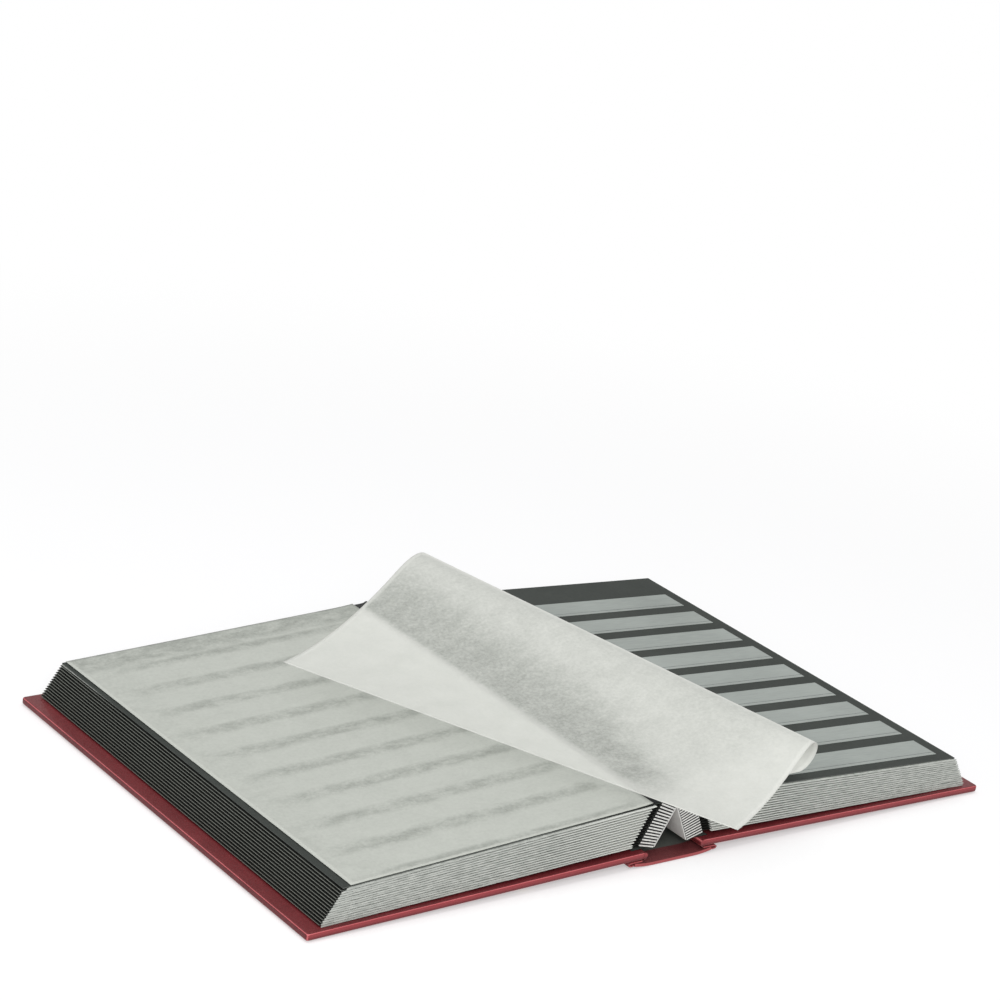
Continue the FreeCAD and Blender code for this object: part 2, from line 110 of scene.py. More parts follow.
# %% The socket class
class Wire:
    """A socket of a node tree that takes part in Python sums."""

    def __init__(self, tree, socket=None):
        self.tree, self.socket = tree, socket

    def node(self, kind, settings=None, values=None, out=0):
        """Adds a node: its settings first, then the values or links of its sockets."""
        made = self.tree.nodes.new(kind)
        for name, setting in (settings or {}).items():
            setattr(made, name, setting)
        for key, value in (values or {}).items():
            if isinstance(value, Wire):
                self.tree.links.new(value.socket, made.inputs[key])
            else:
                made.inputs[key].default_value = value
        return Wire(self.tree, made.outputs[out])

    def sum(self, operation, second=0.0):
        """A Math node on this value and, where the operation has one, a second."""
        return self.node("ShaderNodeMath", {"operation": operation}, {0: self, 1: second})

    def __add__(self, other):
        return self.sum("ADD", other)

    def __sub__(self, other):
        return self.sum("SUBTRACT", other)

    def __rsub__(self, other):
        return self.node("ShaderNodeMath", {"operation": "SUBTRACT"}, {0: other, 1: self})

    def __mul__(self, other):
        return self.sum("MULTIPLY", other)

    def __pow__(self, other):
        return self.sum("POWER", other)

    def __abs__(self):
        return self.sum("ABSOLUTE")

    __radd__, __rmul__ = __add__, __mul__

    def ramp(self, low, high):
        """0 below low, 1 above high and a smooth step between them."""
        return self.node("ShaderNodeMapRange", {"interpolation_type": "SMOOTHSTEP"},
                         {"Value": self, "From Min": low, "From Max": high})

    def mix(self, first, second):
        """A colour from first, where this value is 0, to second, where it is 1."""
        return self.node("ShaderNodeMix", {"data_type": "RGBA"}, {0: self, 6: first, 7: second}, out=2)

    def noise(self, scale, detail=3.0, rough=0.5):
        """Noise of this place, from 0 to 1."""
        return self.node("ShaderNodeTexNoise", None,
                         {"Vector": self, "Scale": scale, "Detail": detail, "Roughness": rough})

    def stretch(self, x, y, z):
        """This place with each axis multiplied, so that a pattern is drawn out along the others."""
        return self.node("ShaderNodeVectorMath", {"operation": "MULTIPLY"}, {0: self, 1: (x, y, z)})

    def part(self, axis):
        """The x, y or z of this place."""
        return self.node("ShaderNodeSeparateXYZ", None, {0: self}, out="XYZ".index(axis))

    def rays(self, *kinds):
        """1 for a light ray of one of these kinds, and 0 for any other."""
        found = [self.node("ShaderNodeLightPath", out=f"Is {kind} Ray") for kind in kinds]
        return sum(found[1:], found[0])


class Finish:
    """A material with a Principled shader, read by the place on the piece."""

    def __init__(self, name, **constants):
        self.material = bpy.data.materials.new(name)
        self.material.use_nodes = True
        self.tree = self.material.node_tree
        self.shader = next(n for n in self.tree.nodes if n.type == "BSDF_PRINCIPLED")
        self.place = Wire(self.tree).node("ShaderNodeTexCoord", out="Object")
        for socket, value in constants.items():
            self.shader.inputs[socket.replace("_", " ")].default_value = value

    def mark(self, name):
        """Reads a number that the piece's mesh carries under this name."""
        return self.place.node("ShaderNodeAttribute", {"attribute_name": name}, out="Fac")

    def feed(self, **wires):
        """Links what varies over the surface to the shader's sockets."""
        for socket, wire in wires.items():
            self.tree.links.new(wire.socket, self.shader.inputs[socket.replace("_", " ")])
        return self

    def raised(self, height, strength, depth):
        """Links a height to the shader's normal through a Bump node."""
        return self.feed(Normal=height.node(
            "ShaderNodeBump", None, {"Height": height, "Strength": strength, "Distance": depth}))


finishes = {}
print("socket class ready")

# %% [markdown]
# ## Floor and light
# The album lay on a white table under soft light. The floor's colour is white to the camera and a little
# darker to the light that bounces off it, so the background stays white and the shadow stays visible. Part
# of that white is a glow, which grows with the distance, because lamplight falls off there. Two large area
# lamps and an even world add up to a level at which a colour renders about as it is written.

# %% Floor
FLOOR_REACH, FLOOR_LEVEL, FLOOR_GREY = 9, -0.0004, (0.78, 0.78, 0.78, 1)


def white_to_camera(wire, lit):
    """White for what the camera sees directly or in a reflection, and lit for the light on the object."""
    seen = wire.rays("Camera", "Glossy", "Transmission")
    return seen.sum("MINIMUM", 1.0).mix(lit, (1, 1, 1, 1))


floor_mesh = bpy.data.meshes.new("floor")
floor_mesh.from_pydata([(x * FLOOR_REACH, y * FLOOR_REACH, FLOOR_LEVEL)
                        for x, y in ((-1, -1), (1, -1), (1, 1), (-1, 1))], [], [(0, 1, 2, 3)])
floor = new_object("floor", floor_mesh)
floor_finish = Finish("floor_white", Roughness=0.9, Specular_IOR_Level=0.0)
floor_white = white_to_camera(floor_finish.place, FLOOR_GREY)
floor_finish.feed(Base_Color=floor_white)
far_away = floor_finish.place.node("ShaderNodeVectorMath", {"operation": "LENGTH"},
                                   {0: floor_finish.place}, out=1)
glow = floor_white.node("ShaderNodeEmission", None, {"Color": floor_white, "Strength": 1.0})
lit_floor = Wire(floor_finish.tree, floor_finish.shader.outputs[0])
blended = glow.node("ShaderNodeMixShader", None,
                    {0: 0.4 + 0.6 * far_away.ramp(0.3, 1.0), 1: lit_floor, 2: glow})
floor_finish.tree.links.new(blended.socket, floor_finish.tree.nodes["Material Output"].inputs["Surface"])
floor_mesh.materials.append(floor_finish.material)
print("floor", len(floor_mesh.polygons), "face")

# %% Lamps and world
def lamp(name, place, size, watts):
    """A square area lamp at place, shining at the origin."""
    made = new_object(name, bpy.data.lights.new(name, "AREA"))
    made.data.size, made.data.energy = size, watts
    made.matrix_world = (Matrix.Translation(place)
                         @ Vector(place).to_track_quat("Z", "Y").to_matrix().to_4x4())


lamp("key_lamp", (-1.6, -1.95, 1.6), 1.4, 42)
lamp("top_lamp", (-0.1, 0.1, 2.7), 1.8, 30)
world = bpy.data.worlds.new("studio")
world.use_nodes = True
scene.world = world
sky = next(n for n in world.node_tree.nodes if n.type == "BACKGROUND")
sky_white = white_to_camera(Wire(world.node_tree), (0.44, 0.44, 0.45, 1))
world.node_tree.links.new(sky_white.socket, sky.inputs["Color"])
scene.view_settings.view_transform = "Standard"

# %% [markdown]
# ## Marks on the faces
# An edge of a thing rarely looks as its faces do, and the finishes paint light and shade by that: a painted
# highlight along the leatherette's rounded edges and painted light on its ends, painted light on the card's
# cut fore-edge, and painted shade on the card's ends near the gutter and on the guards' faces. The shader's
# Bevel or Pointiness could find edges, but an export can't bake those. So every face gets three numbers from
# the way it looks: `fore` for the sides, `tail` for the two ends and `rim` for what lies between two of these
# directions.

# %% Mark the faces
HALFWAY = 0.29  # what a face at 45 degrees to two directions lacks of looking along either


def of_faces(mesh, what):
    """The normals or the centres of a mesh's faces, one row for each face."""
    found = np.empty(len(mesh.polygons) * 3, np.float32)
    mesh.polygons.foreach_get(what, found)
    return found.reshape(-1, 3)


def mark_faces(piece, names=("fore", "tail", "rim")):
    """Writes on each face of a piece how far it looks sideways, endways and between the two."""
    way = np.abs(of_faces(piece.data, "normal"))
    values = {"fore": way[:, 0], "tail": way[:, 1], "rim": (1 - way.max(1)) / HALFWAY}
    for name in names:
        written = piece.data.attributes.new(name, "FLOAT", "FACE")
        written.data.foreach_set("value", values[name].astype(np.float32))
    return piece


for node in nodes.values():
    mark_faces(node)
print("marked faces:", sum(len(node.data.polygons) for node in nodes.values()))

# %% [markdown]
# ## Leatherette
# The case is covered in dark burgundy leatherette: a plastic film pressed with the grain of leather. The
# grain is a net of small rounded cells, which Voronoi's distance to the edge gives, with a finer noise on
# top. The film is darker in the furrows and a little worn and lighter in patches, so a slow noise moves the
# colour between two burgundies. Its rounded edges get a painted highlight, and its ends painted light,
# brighter towards the top of a cover and darker towards its underside. Inside the spine the film is only
# turned in at the head and the tail, and a grey lining shows between the two.

# %% Leatherette finish
COVER_SLOPE, COVER_LEVEL = 0.0192, 0.00483  # a cover's underside: its fall, and its level run on to x = 0
TURN_IN = (0.1395, 0.1407)                  # where the spine's lining ends, from the middle of its height


def leatherette(name, furrow, ridge, end_shaded, end_lit, lining=None):
    """Pressed plastic film in two burgundies, with a painted highlight along its rounded edges and painted
    light on its ends. Where it is only turned in at the head and the tail, a lining of another colour shows
    between the two."""
    finish = Finish(name, Specular_IOR_Level=0.2)
    place = finish.place
    shift = place.node("ShaderNodeTexNoise", None, {"Vector": place, "Scale": 260.0}, out=1)
    warped = place.node("ShaderNodeMix", {"data_type": "VECTOR"}, {0: 0.0012, 4: place, 5: shift}, out=1)
    cells = warped.node("ShaderNodeTexVoronoi", {"feature": "DISTANCE_TO_EDGE"},
                        {"Vector": warped, "Scale": 780.0})
    pebbles, fine = cells.ramp(0.0, 0.22), place.noise(2600.0, 2.0)
    patches = place.noise(34.0, 4.0, 0.6)
    tone = (patches * 0.75 + pebbles * 0.25).ramp(0.25, 0.85).mix(furrow, ridge)
    # painted highlight: faces between two directions get a bright colour, stronger in patches
    rim_highlight = (finish.mark("rim") * (0.6 + 0.7 * patches)).ramp(0.3, 0.9)
    in_cover = place.part("Z") + abs(place.part("X")) * COVER_SLOPE - COVER_LEVEL
    # painted light on the ends: darker at a cover's underside, lighter towards its top
    ends = in_cover.ramp(0.0006, 0.0032).mix(end_shaded, end_lit)
    lit_ends = finish.mark("tail").ramp(0.55, 0.85).mix(tone, ends)
    # the colour of the painted highlight
    colour = rim_highlight.mix(lit_ends, (0.62, 0.155, 0.165, 1))
    if lining:
        uneven = abs(place.part("Y")) + (patches - 0.5) * 0.002
        colour = uneven.ramp(*TURN_IN).mix(lining, colour)
    finish.feed(Base_Color=colour, Coat_Weight=0.05 + 0.1 * patches,
                Roughness=0.46 - 0.08 * pebbles + 0.08 * fine)
    return finish.raised(pebbles * 0.8 + fine * 0.2, 0.3, 0.00018).material


# END_HIGHLIGHT is a painted highlight on the ends of the spine, the liner and the joint folds
FURROW, RIDGE, END_HIGHLIGHT = (0.105, 0.0125, 0.015, 1), (0.175, 0.023, 0.027, 1), (0.40, 0.078, 0.084, 1)
# the covers' ends: painted light from a shaded colour at the underside to a lit one at the top
finishes["leather"] = leatherette("burgundy_leatherette", FURROW, RIDGE,
                                  (0.13, 0.017, 0.021, 1), (0.31, 0.047, 0.054, 1))
finishes["spine"] = leatherette("spine_leatherette", FURROW, RIDGE, END_HIGHLIGHT, END_HIGHLIGHT)
finishes["liner"] = leatherette("liner_leatherette", (0.13, 0.032, 0.034, 1), (0.21, 0.052, 0.055, 1),
                                END_HIGHLIGHT, END_HIGHLIGHT, lining=(0.115, 0.125, 0.112, 1))
print("leatherette finishes:", len(finishes))

# %% [markdown]
# ## Card, linen and paper
# The leaves are black card, which looks dark grey where the light falls along it and has short fibres. The
# leaves in the stacks get a shaded copy of that finish, whose faces are painted near black as shade between
# them. The hinges and the band over the gutter are black bookbinder's linen, so that finish is a weave of two
# waves. A cut fore-edge of card is painted greyer than its face, as painted light on the stepped leaves, so
# the card reads the marks. Its ends carry painted shade near the gutter, where the leaves spread and shade
# each other. The lining is thick white paper. The guards are strips of the same paper with linen glued
# between them. They are white where they were cut at the tail, and their faces, which look at each other
# across narrow gaps, are painted dark as shade.

# %% Black card
def black_card(name, low, high, lit_edge):
    """Card with short fibres between two greys, painted light on its cut fore-edge and painted shade at its
    ends.
    """
    finish = Finish(name, Specular_IOR_Level=0.12)
    fibres = finish.place.stretch(1.0, 0.35, 1.0).noise(900.0, 4.0, 0.65)
    clouds = finish.place.noise(25.0, 3.0)
    face = (fibres * 0.6 + clouds * 0.4).ramp(0.3, 0.75).mix(low, high)
    # painted light: the cut fore-edge takes the lighter lit_edge colour
    cut = finish.mark("fore").ramp(0.5, 0.8).mix(face, lit_edge)
    from_gutter = abs(finish.place.part("X"))
    # painted shade: the ends go near black towards the gutter
    shaded_end = from_gutter.ramp(0.030, 0.095).mix((0.010, 0.011, 0.010, 1), (0.15, 0.16, 0.148, 1))
    finish.feed(Base_Color=finish.mark("tail").ramp(0.5, 0.8).mix(cut, shaded_end),
                Roughness=0.6 + 0.16 * fibres)
    return finish.raised(fibres, 0.25, 0.0001).material


finishes["card"] = black_card("black_card", (0.030, 0.035, 0.031, 1), (0.052, 0.058, 0.052, 1),
                              (0.10, 0.11, 0.10, 1))
# the shaded copy for the stacked leaves: faces painted near black as shade, cut edges painted lighter
finishes["inner"] = black_card("inner_card_shaded", (0.006, 0.007, 0.006, 1), (0.014, 0.015, 0.013, 1),
                               (0.235, 0.25, 0.22, 1))
print("card finishes: 2")

# %% Black linen, white paper, guards
linen = Finish("black_linen", Specular_IOR_Level=0.25)
threads = [linen.place.node("ShaderNodeTexWave", {"bands_direction": axis},
                            {"Vector": linen.place, "Scale": 420.0, "Distortion": 1.5, "Detail": 1.0})
           for axis in ("X", "Y")]
weave = threads[0].sum("MAXIMUM", threads[1])
linen.feed(Base_Color=weave.mix((0.006, 0.006, 0.0065, 1), (0.020, 0.021, 0.021, 1)),
           Roughness=0.85 - 0.15 * weave)
finishes["linen"] = linen.raised(weave, 0.4, 0.00012).material

paper = Finish("guard_paper", Roughness=0.8, Specular_IOR_Level=0.25)
pulp = paper.place.noise(700.0, 4.0, 0.6)
aged = (pulp * 0.5 + paper.place.noise(18.0, 3.0) * 0.5).ramp(0.3, 0.7)
paper.feed(Base_Color=aged.mix((0.62, 0.62, 0.59, 1), (0.74, 0.74, 0.71, 1)))
finishes["paper"] = paper.raised(pulp, 0.2, 0.0001).material

guard = Finish("guard_strips", Roughness=0.85, Specular_IOR_Level=0.15)
sawn = guard.place.stretch(1.0, 0.2, 1.0).noise(800.0, 3.0).ramp(0.3, 0.7)
white_end = sawn.mix((0.66, 0.66, 0.63, 1), (0.84, 0.84, 0.80, 1))
# painted shade: the guards' faces, which look across narrow gaps, are near black
gap_shade = guard.place.noise(300.0, 3.0).mix((0.03, 0.031, 0.03, 1), (0.10, 0.10, 0.098, 1))
guard.feed(Base_Color=guard.mark("tail").ramp(0.5, 0.8).mix(gap_shade, white_end))
finishes["guard"] = guard.material
print("linen, paper and guards ready")

# %% [markdown]
# ## Gold foil and the boards
# The double lines on the cover and spine are hot-stamped foil: metal, slightly broken by the grain below
# it, so its roughness follows the same noise. Boards, foam and the spine's card are closed in by the skins,
# so one noise between two tones is enough for board and foam.

# %% Gold foil, grey board, foam
def mottled(name, roughness, scale, detail, low, high):
    """A plain finish whose colour wanders between two tones."""
    finish = Finish(name, Roughness=roughness)
    finish.feed(Base_Color=finish.place.noise(scale, detail).ramp(0.3, 0.7).mix(low, high))
    return finish.material


gold = Finish("gold_foil", Metallic=1.0)
worn = gold.place.noise(1500.0, 3.0, 0.6)
gold.feed(Base_Color=worn.ramp(0.35, 0.7).mix((0.62, 0.40, 0.13, 1), (0.86, 0.64, 0.27, 1)),
          Roughness=0.24 + 0.22 * worn)
finishes["gold"] = gold.raised(worn, 0.2, 0.0001).material
finishes["board"] = mottled("grey_board", 0.9, 600.0, 4.0, (0.16, 0.15, 0.14, 1), (0.30, 0.29, 0.27, 1))
finishes["foam"] = mottled("cover_foam", 0.95, 1200.0, 2.0, (0.45, 0.44, 0.40, 1), (0.62, 0.61, 0.57, 1))
print("finishes:", sorted(finishes))

# %% [markdown]
# ## Pocket strips
# Nine clear strips on a page are welded to the card along their lower edge. Over black card the film reads
# as a soft grey, brushed along its length by the rollers that made it, and a weld line runs just above the
# lower edge of each strip.

# %% Film finish
film = Finish("pocket_film", Specular_IOR_Level=0.22)
brushed = film.place.stretch(0.03, 1.0, 1.0).noise(1400.0, 3.0, 0.6)
hazy = (brushed * 0.5 + film.place.noise(14.0, 3.0) * 0.5).ramp(0.3, 0.7)
film.feed(Base_Color=hazy.mix((0.25, 0.275, 0.255, 1), (0.345, 0.375, 0.35, 1)),
          Roughness=0.42 + 0.16 * brushed)
finishes["film"] = film.material
finishes["weld"] = mottled("weld_line", 0.45, 500.0, 3.0, (0.10, 0.112, 0.105, 1), (0.17, 0.185, 0.175, 1))
print("film ready")

# %% [markdown]
# ## Dressing the solids
# Finishes could be given face by face. Here each solid gets one, and where a part of it should look different
# the finish reads the marks on the faces. The two open pages are paler than the leaves in the stacks, of
# which only the edges show. The foam pads are closed in and never show.

# %% Dress the CAD nodes
LEAVES, LEFT_TOP, RIGHT_TOP = 30, 15, 16


def leaf_name(number):
    """The name of a leaf, which is also that of its body."""
    return f"leaf_{number:02d}"


leaves = [leaf_name(number) for number in range(1, LEAVES + 1)]
open_pages = (leaf_name(LEFT_TOP), leaf_name(RIGHT_TOP))
# the stacked leaves get the shaded copy of the card, with painted shade on their faces
DRESS = {"leather": ("front_leatherette", "back_leatherette"),
         "liner": ("spine_liner",), "spine": ("spine_leatherette", "spine_card"),
         "board": ("front_board", "back_board"), "foam": ("front_padding", "back_padding"),
         "card": ("front_endpaper", "back_endpaper") + open_pages,
         "inner": [name for name in leaves if name not in open_pages],
         "linen": ("left_hinge_linens", "right_hinge_linens", "gutter_fold"),
         "paper": ("left_lining", "right_lining"), "guard": ("left_guards", "right_guards"),
         "gold": ("front_gold_lines", "spine_gold_bands"),
         "film": ("left_page_pockets", "right_page_pockets")}
for finish, names in DRESS.items():
    for name in names:
        nodes[name].data.materials.clear()
        nodes[name].data.materials.append(finishes[finish])
print("dressed:", sum(len(names) for names in DRESS.values()), "nodes")

# %% [markdown]
# ## Geometry trees
# The weld lines and the glassine between the leaves repeat, so they are Geometry Nodes trees. A tree gets
# named inputs for its sizes and is baked to a plain mesh for each body that it rides on. Copying a mesh by
# hand would also work, but then every sheet would have the same waves.

# %% Tree helpers
BACK_TURN = 63  # closing turns the block's back by this, and a leaf on it by the rest of 90 and by its lean


def leaf_place(number):
    """Where a leaf's hinge is and how far the leaf is turned about it, with the side that it lies on."""
    joint = next(j for j in frame["joints"] if j["name"] == leaf_name(number) + "_turn")
    side = -1 if number <= LEFT_TOP else 1
    lean = joint["range_deg"][1] - (90 - BACK_TURN)
    return Vector(joint["pos_m"]), side * math.radians(lean), side


def new_tree(name, inputs):
    """An empty geometry tree with named inputs: the tree, its input wires and their identifiers."""
    tree = bpy.data.node_groups.new(name, "GeometryNodeTree")
    tree.interface.new_socket("Geometry", in_out="OUTPUT", socket_type="NodeSocketGeometry")
    kinds = {"number": "NodeSocketFloat", "count": "NodeSocketInt", "place": "NodeSocketVector"}
    keys = {title: tree.interface.new_socket(title, in_out="INPUT", socket_type=kinds[kind]).identifier
            for title, kind in inputs.items()}
    source = tree.nodes.new("NodeGroupInput")
    return tree, {title: Wire(tree, source.outputs[title]) for title in inputs}, keys


def close_tree(tree, shape, place, turned, material):
    """Sets the shape in its place, realizes it, gives it its material and joins it to the tree's output."""
    placed = shape.node("GeometryNodeTransform", None,
                        {"Geometry": shape, "Translation": place, "Rotation": turned})
    real = shape.node("GeometryNodeRealizeInstances", None, {0: placed})
    dressed = shape.node("GeometryNodeSetMaterial", None, {"Geometry": real, "Material": material})
    tree.links.new(dressed.socket, tree.nodes.new("NodeGroupOutput").inputs[0])


def bake(name, tree, keys, sizes):
    """A plain mesh object from a tree, with its inputs set by identifier."""
    made = new_object(name, bpy.data.meshes.new(name))
    modifier = made.modifiers.new("tree", "NODES")
    modifier.node_group = tree
    for title, value in sizes.items():
        modifier[keys[title]] = value
    graph = bpy.context.evaluated_depsgraph_get()
    mesh = bpy.data.meshes.new_from_object(made.evaluated_get(graph), depsgraph=graph)
    made.modifiers.clear()
    made.data = mesh
    return made


print("top leaves:", [rounded(leaf_place(number)[0]) for number in (LEFT_TOP, RIGHT_TOP)])

# %% [markdown]
# ## The leaves' linen hinges
# Each leaf is card from 6 mm outside its hinge and black linen up to there. Linen frays black where it is
# cut, so the faces of the linen lose the mark that makes the ends of card greyer.

# %% Blacken the linen's ends
LINEN_BAND = 0.0061
for number in range(1, LEAVES + 1):
    mesh = nodes[leaf_name(number)].data
    on_linen = np.abs(of_faces(mesh, "center")[:, 0] - leaf_place(number)[0].x) < LINEN_BAND
    greyer = np.empty(len(mesh.polygons), np.float32)
    mesh.attributes["tail"].data.foreach_get("value", greyer)
    greyer[on_linen] = 0
    mesh.attributes["tail"].data.foreach_set("value", greyer)
print("linen faces on the last leaf:", int(on_linen.sum()), "of", len(on_linen))

# %% [markdown]
# ## Weld lines
# A strip is held by the line along which it is welded to the card. A stripe in the film's finish could show
# that line. Here it is a rod as long as the strip and hardly higher than the film, with a finish of its own.
# The tree sets one rod on each point of a row, and the row is then laid on the page.

# %% Weld lines of the pocket strips
STRIPS, STRIP_PITCH = 9, 0.030
weld_tree, weld_in, weld_keys = new_tree("weld_lines", {
    "Strips": "count", "Length": "number", "Width": "number", "Height": "number",
    "First": "place", "Pitch": "place", "Place": "place", "Turn": "place"})
row = Wire(weld_tree).node("GeometryNodeMeshLine", {"mode": "OFFSET"},
                           {"Count": weld_in["Strips"], "Start Location": weld_in["First"],
                            "Offset": weld_in["Pitch"]})
rod_size = row.node("ShaderNodeCombineXYZ", None,
                    {0: weld_in["Length"], 1: weld_in["Width"], 2: weld_in["Height"]})
rod = row.node("GeometryNodeMeshCube", None, {"Size": rod_size})
rods = row.node("GeometryNodeInstanceOnPoints", None, {"Points": row, "Instance": rod})
close_tree(weld_tree, rods, weld_in["Place"], weld_in["Turn"], finishes["weld"])
for name, number in (("left_weld_lines", LEFT_TOP), ("right_weld_lines", RIGHT_TOP)):
    hinge, lean, side = leaf_place(number)
    welds = bake(name, weld_tree, weld_keys, {
        "Strips": STRIPS, "Length": 0.1944, "Width": 0.0006, "Height": 0.00005,
        "First": (side * 0.1115, -0.1375, 0.00042), "Pitch": (0, STRIP_PITCH, 0),
        "Place": hinge, "Turn": (0, lean, 0)})
    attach(welds, leaf_name(number))
    print(name, len(welds.data.polygons), "faces")

# %% [markdown]
# ## Glassine
# Glassine is thin, smooth, milky paper, so what lies under it shows as a ghost. Real blur through paper is
# slow to render and is lost in an export, so the sheet's own colour carries the ghost: an attribute of the
# mesh says how dark what lies below is, and the same attribute carries painted highlights on the sheets'
# edges and fold and painted shade on the bent sheet. The light that falls on a bent sheet mostly passes
# through it and lights the page below, so its Alpha is lower for the rays that carry light than for those
# of the camera.

# %% Glassine finishes
def glassine(name, light, dark, grain, dabs, passed):
    """Milky paper. The mesh's `ground` moves its colour from light to dark: the ghost of
    what lies below, with painted highlights and painted shade. Dabs and grain break it up, and the mesh's
    `clear` makes it see-through. What is passed of the light on it lights what lies below."""
    finish = Finish(name, Roughness=0.55, Specular_IOR_Level=0.2)
    cloudy = finish.place.noise(70.0, 5.0, 0.65)
    specks = finish.place.noise(480.0, 4.0, 0.7)
    dab = finish.place.stretch(0.5, 1.0, 1.0).noise(150.0, 4.0, 0.6).ramp(0.32, 0.68)
    fibres = (cloudy - 0.5) * 0.3 + (specks - 0.5) * grain
    broken = 1.0 - dabs + 2.0 * dabs * dab + (specks - 0.5) * 1.2
    shade = finish.mark("ground") * broken + fibres + (dab - 0.5) * dabs * 0.14
    stopped = 0.97 - finish.mark("clear") - passed * finish.place.rays("Shadow", "Diffuse")
    finish.feed(Base_Color=shade.ramp(-0.35, 1.0).mix(light, dark), Alpha=stopped.sum("MAXIMUM", 0.05))
    return finish.raised(cloudy * 0.8 + specks * 0.2, 0.16, 0.0006).material


finishes["bent"] = glassine("bent_glassine", (0.755, 0.765, 0.715, 1), (0.30, 0.315, 0.285, 1),
                            grain=0.2, dabs=0.10, passed=0.72)
finishes["laid"] = glassine("laid_glassine", (0.545, 0.565, 0.515, 1), (0.26, 0.275, 0.245, 1),
                            grain=0.5, dabs=0.42, passed=0.0)
stacked = Finish("stacked_glassine", Roughness=0.6, Specular_IOR_Level=0.3)
layers = stacked.place.stretch(1.0, 1.0, 6.0).noise(160.0, 3.0, 0.6)
bundled = layers.ramp(0.3, 0.72).mix((0.40, 0.422, 0.388, 1), (0.60, 0.62, 0.575, 1))
# painted light: the ends are lighter near the gutter, where the sheets lie in shadow
stacked.feed(Base_Color=abs(stacked.place.part("X")).ramp(0.035, 0.100).mix((0.71, 0.73, 0.68, 1), bundled))
finishes["stacked"] = stacked.material
print("glassine finishes: 3")

# %% [markdown]
# ## Glassine between the leaves
# Of these sheets only the ends show, as fine light lines in the stacks. A cloth simulation could lay them,
# but for so little a rule is enough: one slab becomes a sheet by moving its points. It waves a little, its
# tail is ragged and flares out to fill the space between two leaves, and near the hinge it stays thin. Each
# sheet has its own seed, so no two wave alike.

# %% The tree of a sheet
sheet_tree, sheet_in, sheet_keys = new_tree("glassine_sheet", {
    "Width": "number", "Height": "number", "Thickness": "number", "Flare": "number", "Reach": "number",
    "Skew": "number", "Waves": "number", "Seed": "number",
    "Centre": "place", "Place": "place", "Turn": "place"})
slab = Wire(sheet_tree).node("GeometryNodeMeshCube", None, {
    "Size": (1, 2, 1), "Vertices X": 56, "Vertices Y": 8, "Vertices Z": 2})
run, share, skin = (slab.node("GeometryNodeInputPosition").part(axis) for axis in "XYZ")
inward = 1 - abs(share)
gathered = share.sum("SIGN") * (1 - inward ** 4.0)
at_tail = inward.ramp(0.2, 0.0) * share.ramp(0.1, -0.1)
longer = at_tail * sheet_in["Reach"]
across_page = run * (sheet_in["Width"] + abs(longer)) + longer * 0.5 + gathered * sheet_in["Skew"]
hinge_off = (0.5 + run * sheet_in["Reach"].sum("SIGN")).ramp(0.05, 0.40)
chance = slab.node("ShaderNodeCombineXYZ", None,
                   {0: across_page, 1: gathered * 0.15, 2: sheet_in["Seed"]})
lift = (chance.noise(42.0, 2.0) - 0.5) * sheet_in["Waves"] * 2.0
ragged = 1 + (chance.stretch(1.0, 0.0, 1.0).noise(70.0, 3.0) - 0.5) * 0.007
thick = skin * sheet_in["Thickness"] * (1 + sheet_in["Flare"] * at_tail * hinge_off)
spot = slab.node("ShaderNodeCombineXYZ", None, {
    0: across_page, 1: gathered * ragged * sheet_in["Height"] * 0.5, 2: thick + lift})
shaped = slab.node("GeometryNodeSetPosition", None, {"Geometry": slab, "Position": spot})
centred = slab.node("GeometryNodeTransform", None,
                    {"Geometry": shaped, "Translation": sheet_in["Centre"]})
close_tree(sheet_tree, centred, sheet_in["Place"], sheet_in["Turn"], finishes["stacked"])
print("sheet tree:", len(sheet_tree.nodes), "nodes")

# %% Sheets between the leaves
STACK_WIDTH, TAIL_WIDTH, STACK_HEIGHT = 0.2068, 0.2112, 0.2967
LOWER_WIDTH, LOWER_SKEW = 0.2088, 0.0022  # the sheet below the left page, which sticks out askew
FROM_HINGE, TAIL_SHIFT, ON_LEAF, UNDER_LEAF = 0.0064, -0.00075, 0.00068, -0.00062


def stack_sheet(name, number, width, height, skew=0.0):
    """One sheet of glassine at this height over a leaf, or below it, skewed towards the head."""
    hinge, lean, side = leaf_place(number)
    made = bake(name, sheet_tree, sheet_keys, {
        "Width": width, "Height": STACK_HEIGHT, "Thickness": 0.0005, "Flare": 1.15, "Waves": 0.00012,
        "Reach": side * (TAIL_WIDTH - width), "Seed": height * 900 + number * 1.7, "Skew": side * skew,
        "Centre": (side * (FROM_HINGE + width / 2), TAIL_SHIFT, height),
        "Place": hinge, "Turn": (0, lean, 0)})
    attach(made, leaf_name(number))
    return made


for number in range(1, LEAVES + 1):
    if number == LEFT_TOP - 1:
        stack_sheet(f"interleaf_{number:02d}", number, LOWER_WIDTH, ON_LEAF, LOWER_SKEW)
    elif number not in (LEFT_TOP, RIGHT_TOP):
        sheet = stack_sheet(f"interleaf_{number:02d}", number, STACK_WIDTH, ON_LEAF)
for name, number in (("interleaf_front", 1), ("interleaf_back", LEAVES)):
    stack_sheet(name, number, STACK_WIDTH, UNDER_LEAF)
print("sheets between the leaves:", LEAVES, "faces each:", len(sheet.data.polygons))

# %% [markdown]
# ## Thin sheets from a grid of points
# The two glassine sheets on the open pages and the folded leatherette are surfaces given by a rule, one
# point for each place on the flat sheet. A Solidify modifier could give them their thickness. Here the two
# skins and the rim are written directly, so that the mesh is closed and can carry shades of its own.

